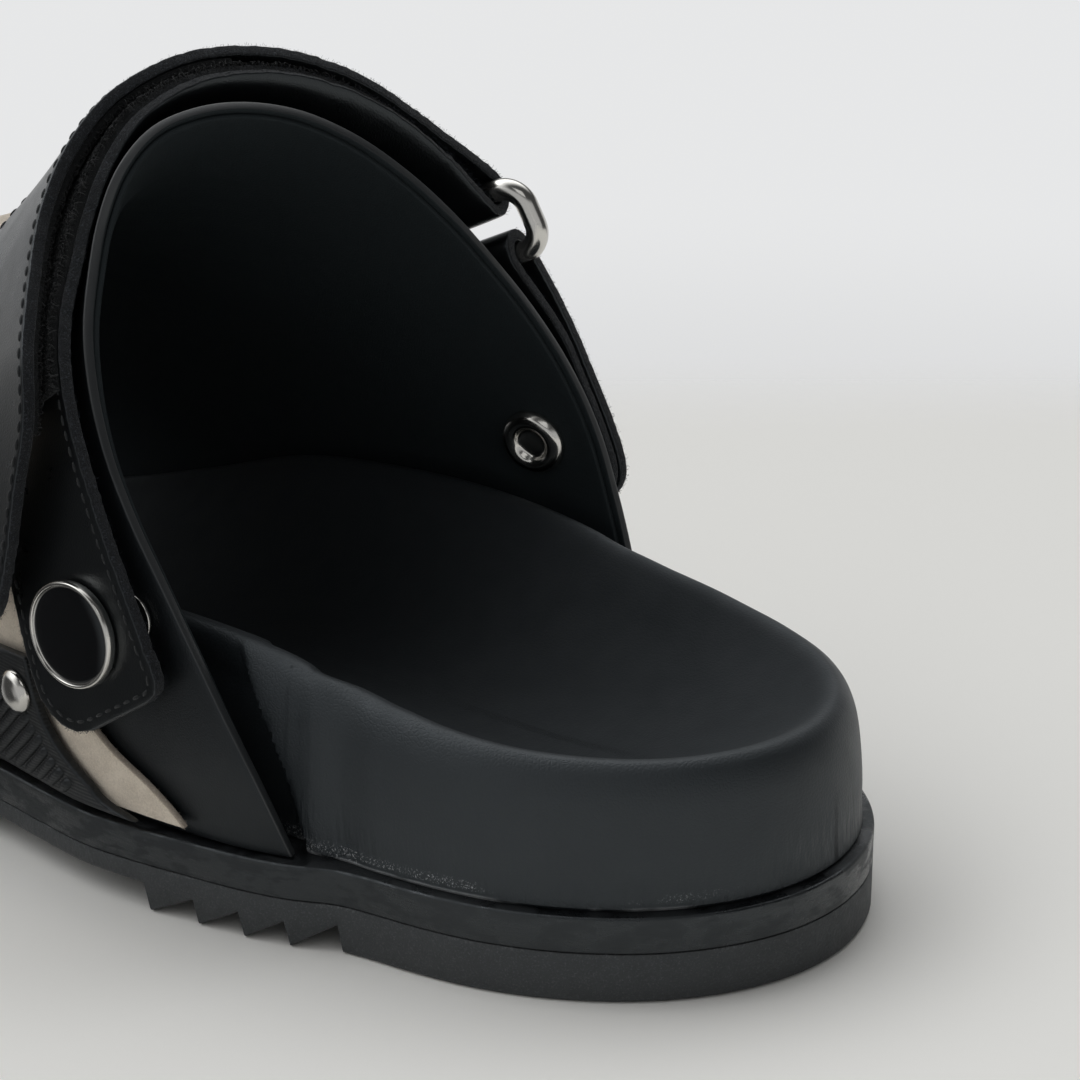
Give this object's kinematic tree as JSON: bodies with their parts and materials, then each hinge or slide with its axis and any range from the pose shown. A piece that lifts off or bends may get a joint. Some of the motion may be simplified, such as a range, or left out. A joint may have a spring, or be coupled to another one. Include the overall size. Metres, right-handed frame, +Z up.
{
  "type": "strappy sandal",
  "caption": "Open right sandal with a contoured footbed, a wide hollow leather vamp, an instep strap on a metal ring and a saw-toothed rubber sole.",
  "frame": {"origin": "middle of the bounding box at the ground, under the sole", "axes": "+Y from heel to toe, +X to the wearer's right (the outer, lateral side), +Z up"},
  "size_m": [0.1004, 0.285, 0.1122],
  "materials": {
    "sole_rubber": "matte grainy black",
    "burnished_edge": "glossy burnished black",
    "footbed_leather": "smooth matte black",
    "vamp_leather": "smooth black",
    "pale_suede": "napped pale beige",
    "ribbed_rubber": "ribbed matte black",
    "strap_leather": "smooth black with stitched edges",
    "nickel": "polished",
    "dark_face": "glossy black"
  },
  "bodies": {
    "root": {"outsole": "sole_rubber", "midsole": "burnished_edge", "footbed": "footbed_leather", "upper": "vamp_leather", "suede_panel": "pale_suede", "guard_medial": "ribbed_rubber", "guard_lateral": "ribbed_rubber", "strap": "strap_leather", "ring": "nickel", "ring_tab": "strap_leather", "snap_cap": "nickel", "snap_inlay": "dark_face", "snap_post": "nickel", "spare_stud": "nickel", "socket_ring": "nickel", "tab_rivet": "nickel", "guard_rivet": "nickel"}
  },
  "joints": []
}
